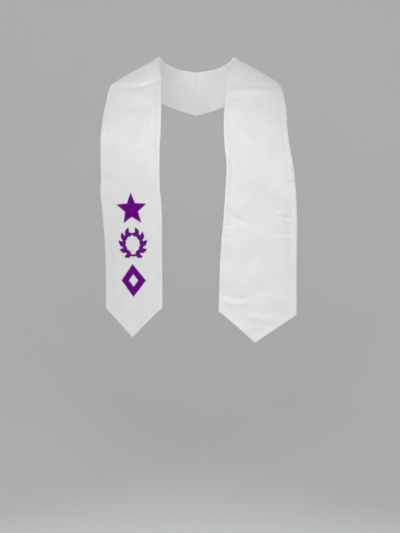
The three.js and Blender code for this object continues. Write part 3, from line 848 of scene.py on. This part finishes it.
def add_sprig(pile, half, frame_at, side):
    """One curved stem of the wreath in satin stitch over padding, with its pairs of leaves."""
    def heading_at(degrees):
        return -math.pi / 2 + side * np.radians(degrees)

    def spot_at(degrees, radius):
        heading = heading_at(degrees)
        return np.stack([radius * np.cos(heading), radius * np.sin(heading)], -1)

    degrees = np.linspace(-SPRIG_CROSSING, SPRIG_SWEEP, STEM_ROWS)
    along, across = np.meshgrid(degrees, np.linspace(-1, 1, STEM_COLUMNS), indexing="ij")
    padding = spot_at(along, WREATH_RADIUS + across * STEM_WIDTH / 2) * APPLIQUE_HALF
    crown = np.sqrt(np.clip(1 - across**2, 0, 1))
    corners, _ = over_satin(half, frame_at, padding, TWILL_FOOT + (STEM_HEIGHT - THREAD_LIFT) * crown)
    pile.add(corners, grid_faces(0, *along.shape, flip=side > 0), padding, TWILL_KIND)

    run = math.radians(SPRIG_SWEEP + SPRIG_CROSSING) * WREATH_RADIUS * APPLIQUE_HEIGHT / 2
    at = np.linspace(-SPRIG_CROSSING, SPRIG_SWEEP, round(run / THREAD_PITCH))
    starts = spot_at(at, WREATH_RADIUS - STEM_WIDTH / 2) * APPLIQUE_HALF
    ends = spot_at(at + STEM_THREAD_LEAN, WREATH_RADIUS + STEM_WIDTH / 2) * APPLIQUE_HALF
    heights = np.broadcast_to(STEM_HEIGHT * thread_arch(STEM_ARCH_START), (len(at), THREAD_SPANS + 1))
    add_threads(pile, half, frame_at, starts, ends, heights)

    for pair in range(LEAF_PAIRS):
        at = (pair + 0.5) / LEAF_PAIRS * SPRIG_SWEEP
        forward = float(heading_at(at)) + side * math.pi / 2
        root = spot_at(np.array(at), WREATH_RADIUS)
        for lean in (-LEAF_LEAN, LEAF_LEAN):
            add_leaf(pile, half, frame_at, root, forward + math.radians(lean))


def wreath_piece(half, rise, materials):
    frame_at = ornament_frame(half, rise)
    pile = Pile()
    for side in (-1, 1):
        add_sprig(pile, half, frame_at, side)
    return pile.piece("wreath_applique_cloth", materials)


def new_material(name):
    material = bpy.data.materials.new(name)
    material.use_nodes = True
    tree = material.node_tree
    tree.nodes.clear()
    shader = tree.nodes.new("ShaderNodeBsdfPrincipled")
    output = tree.nodes.new("ShaderNodeOutputMaterial")
    tree.links.new(shader.outputs[0], output.inputs[0])
    return material, tree, shader


def value_node(tree, operation, *values):
    node = tree.nodes.new("ShaderNodeMath")
    node.operation = operation
    for socket, value in zip(node.inputs, values):
        if isinstance(value, bpy.types.NodeSocket):
            tree.links.new(value, socket)
        else:
            socket.default_value = value
    return node.outputs[0]


def wave_value(tree, value, factor):
    return value_node(tree, "SINE", value_node(tree, "MULTIPLY", value, factor))


def cloth_coordinates(tree):
    """The two cloth coordinates, in metres, and the whole vector."""
    source = tree.nodes.new("ShaderNodeUVMap")
    source.uv_map = "cloth"
    split = tree.nodes.new("ShaderNodeSeparateXYZ")
    tree.links.new(source.outputs[0], split.inputs[0])
    return split.outputs[0], split.outputs[1], source.outputs[0]


def noise_value(tree, vector, scale, detail, stretch=(1, 1, 1)):
    mapping = tree.nodes.new("ShaderNodeMapping")
    mapping.inputs["Scale"].default_value = stretch
    tree.links.new(vector, mapping.inputs["Vector"])
    noise = tree.nodes.new("ShaderNodeTexNoise")
    noise.inputs["Scale"].default_value = scale
    noise.inputs["Detail"].default_value = detail
    tree.links.new(mapping.outputs[0], noise.inputs["Vector"])
    return noise.outputs[0]


def ramp_colour(tree, value, places, colours):
    ramp = tree.nodes.new("ShaderNodeValToRGB")
    for element, place, colour in zip(ramp.color_ramp.elements, places, colours):
        element.position = place
        element.color = (*colour, 1)
    tree.links.new(value, ramp.inputs[0])
    return ramp.outputs[0]


def bump_normal(tree, height, distance, strength, below=None):
    bump = tree.nodes.new("ShaderNodeBump")
    bump.inputs["Distance"].default_value = distance
    bump.inputs["Strength"].default_value = strength
    tree.links.new(height, bump.inputs["Height"])
    if below is not None:
        tree.links.new(below, bump.inputs["Normal"])
    return bump.outputs[0]


def finish_cloth(tree, shader, colour, normal, noise, roughness, specular):
    """Links what varies over a cloth to its shader. The roughness follows the noise."""
    least, added = roughness
    tree.links.new(colour, shader.inputs["Base Color"])
    tree.links.new(normal, shader.inputs["Normal"])
    tree.links.new(value_node(tree, "MULTIPLY_ADD", noise, added, least), shader.inputs["Roughness"])
    shader.inputs["Specular IOR Level"].default_value = specular


def satin_material():
    """White satin with lengthwise floats, tied down by a weft thread at every fifth."""
    material, tree, shader = new_material("white_satin")
    u, v, vector = cloth_coordinates(tree)
    warp = value_node(tree, "MULTIPLY", u, 1 / SATIN_PITCH)
    weft = value_node(tree, "MULTIPLY", v, 1 / SATIN_PITCH)
    shift = value_node(tree, "MULTIPLY", value_node(tree, "FLOOR", warp), SATIN_TIE_SHIFT)
    order = value_node(tree, "SUBTRACT", value_node(tree, "FLOOR", weft), shift)
    turn = value_node(tree, "FLOORED_MODULO", order, SATIN_TIE_ROUND)
    tie = value_node(tree, "COMPARE", turn, 0, 0.5)
    thread = value_node(tree, "ABSOLUTE", wave_value(tree, warp, math.pi))
    dimple = value_node(tree, "ABSOLUTE", wave_value(tree, weft, math.pi))
    floats = value_node(tree, "SUBTRACT", 1, value_node(tree, "MULTIPLY", tie, dimple))
    weave = value_node(tree, "MULTIPLY", thread, floats)
    streaks = noise_value(tree, vector, *SATIN_STREAKS)
    cloudy = noise_value(tree, vector, *SATIN_CLOUDS)
    crumple = noise_value(tree, vector, *SATIN_CRUMPLE)
    rest = value_node(tree, "MULTIPLY", cloudy, 1 - SATIN_STREAK_SHARE)
    mixed = value_node(tree, "MULTIPLY_ADD", streaks, SATIN_STREAK_SHARE, rest)
    colour = ramp_colour(tree, mixed, SATIN_TONES, (SATIN_DARK, SATIN_LIGHT))
    normal = bump_normal(tree, crumple, *SATIN_CRUMPLE_BUMP)
    normal = bump_normal(tree, weave, *SATIN_WEAVE_BUMP, normal)
    finish_cloth(tree, shader, colour, normal, cloudy, SATIN_ROUGHNESS, SATIN_SPECULAR)
    tangent = tree.nodes.new("ShaderNodeTangent")
    tangent.direction_type = "UV_MAP"
    tangent.uv_map = "cloth"
    tree.links.new(tangent.outputs[0], shader.inputs["Tangent"])
    shader.inputs["Anisotropic"].default_value = SATIN_ANISOTROPY
    return material


def twill_material():
    """Purple twill with its diagonal ribs."""
    material, tree, shader = new_material("purple_twill")
    u, v, vector = cloth_coordinates(tree)
    slanted = value_node(tree, "ADD", u, value_node(tree, "MULTIPLY", v, TWILL_SLANT))
    ribs = wave_value(tree, slanted, 2 * math.pi / TWILL_PITCH)
    cross = wave_value(tree, v, 2 * math.pi / (TWILL_PITCH * TWILL_CROSS_PITCH))
    weave = value_node(tree, "MULTIPLY_ADD", cross, TWILL_CROSS_SHARE, ribs)
    cloudy = noise_value(tree, vector, *TWILL_CLOUDS)
    mixed = value_node(tree, "MULTIPLY_ADD", weave, TWILL_WEAVE_SHARE, cloudy)
    colour = ramp_colour(tree, mixed, TWILL_TONES, (TWILL_DARK, TWILL_LIGHT))
    normal = bump_normal(tree, weave, *TWILL_BUMP)
    finish_cloth(tree, shader, colour, normal, cloudy, TWILL_ROUGHNESS, TWILL_SPECULAR)
    return material


def thread_material():
    """Glossy purple embroidery thread with its twist."""
    material, tree, shader = new_material("purple_thread")
    u, v, vector = cloth_coordinates(tree)
    around = value_node(tree, "MULTIPLY", u, 2 * math.pi / THREAD_TWIST_AROUND)
    along = value_node(tree, "MULTIPLY", v, 2 * math.pi / THREAD_TWIST_ALONG)
    strands = value_node(tree, "SINE", value_node(tree, "ADD", around, along))
    uneven = noise_value(tree, vector, *THREAD_CLOUDS)
    colour = ramp_colour(tree, uneven, THREAD_TONES, (THREAD_DARK, THREAD_LIGHT))
    normal = bump_normal(tree, strands, *THREAD_BUMP)
    finish_cloth(tree, shader, colour, normal, uneven, THREAD_ROUGHNESS, THREAD_SPECULAR)
    return material


def studio_material():
    material, tree, shader = new_material("studio_paper")
    place = tree.nodes.new("ShaderNodeTexCoord")
    grain = noise_value(tree, place.outputs["Object"], *STUDIO_CLOUDS)
    colour = ramp_colour(tree, grain, STUDIO_TONES, (STUDIO_DARK, STUDIO_LIGHT))
    tree.links.new(colour, shader.inputs["Base Color"])
    shader.inputs["Roughness"].default_value = STUDIO_ROUGHNESS
    shader.inputs["Specular IOR Level"].default_value = STUDIO_SPECULAR
    return material


def studio_piece(material):
    """A round floor that curves up into a wall."""
    profile = [(FLOOR_RADIUS * k / FLOOR_STEPS, FLOOR_LEVEL) for k in range(1, FLOOR_STEPS)]
    fillet = WALL_RADIUS - FLOOR_RADIUS
    for k in range(FILLET_STEPS + 1):
        angle = math.pi / 2 * k / FILLET_STEPS
        height = FLOOR_LEVEL + fillet * (1 - math.cos(angle))
        profile.append((FLOOR_RADIUS + fillet * math.sin(angle), height))
    profile.append((WALL_RADIUS, WALL_TOP))
    rings = len(profile)
    corners = []
    for n in range(STUDIO_TURNS):
        angle = 2 * math.pi * n / STUDIO_TURNS
        for radius, height in profile:
            corners.append((radius * math.cos(angle), radius * math.sin(angle), height))
    centre = len(corners)
    corners.append((0, 0, FLOOR_LEVEL))
    faces = []
    for n in range(STUDIO_TURNS):
        here, there = n * rings, (n + 1) % STUDIO_TURNS * rings
        faces.append((centre, here, there))
        for k in range(rings - 1):
            faces.append((here + k, here + k + 1, there + k + 1, there + k))
    return mesh_piece("studio", corners, faces, np.array(corners)[:, :2], [material])


def add_light(name, place, aim, size, power):
    light = bpy.data.lights.new(name, "AREA")
    light.shape = "DISK"
    light.size = size
    light.energy = power
    lamp = bpy.data.objects.new(name, light)
    lamp.location = place
    lamp.rotation_euler = (Vector(aim) - Vector(place)).to_track_quat("-Z", "Y").to_euler()
    lamp.visible_camera = False
    bpy.context.scene.collection.objects.link(lamp)


scene = bpy.context.scene
camera = bpy.data.objects.new("camera", bpy.data.cameras.new("camera"))
camera.location = CAMERA_PLACE
camera.rotation_euler = (math.pi / 2, 0, 0)
camera.data.lens = CAMERA_LENS
camera.data.clip_end = CAMERA_REACH
scene.collection.objects.link(camera)
scene.camera = camera
scene.view_settings.view_transform = "Standard"

left = half_of(-1, LEFT_DROP, LEFT_BOW, 0, LEFT_HANG, LEFT_FOLDS, LEFT_CREASES)
right = half_of(1, RIGHT_DROP, RIGHT_BOW, RIGHT_POINT_SWING, RIGHT_HANG, RIGHT_FOLDS, RIGHT_CREASES)
satin = satin_material()
sewn = [twill_material(), thread_material()]
left_cloth = half_piece("left_half_cloth", left, satin)
right_cloth = half_piece("right_half_cloth", right, satin)
lozenge = lozenge_piece(left, LOWEST_APPLIQUE_RISE, sewn)
wreath = wreath_piece(left, LOWEST_APPLIQUE_RISE + APPLIQUE_PITCH, sewn)
star = star_piece(left, LOWEST_APPLIQUE_RISE + 2 * APPLIQUE_PITCH, sewn)

stands_for = {
    "left_half": left_cloth,
    "right_half": right_cloth,
    "lozenge_applique": lozenge,
    "wreath_applique": wreath,
    "star_applique": star,
}
for node, piece in stands_for.items():
    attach(piece, "root")
    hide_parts(node)

studio = studio_piece(studio_material())

world = bpy.data.worlds.new("studio_air")
world.use_nodes = True
world.node_tree.nodes["Background"].inputs["Color"].default_value = (1, 1, 1, 1)
world.node_tree.nodes["Background"].inputs["Strength"].default_value = AIR_STRENGTH
scene.world = world
for light in LIGHTS:
    add_light(*light)
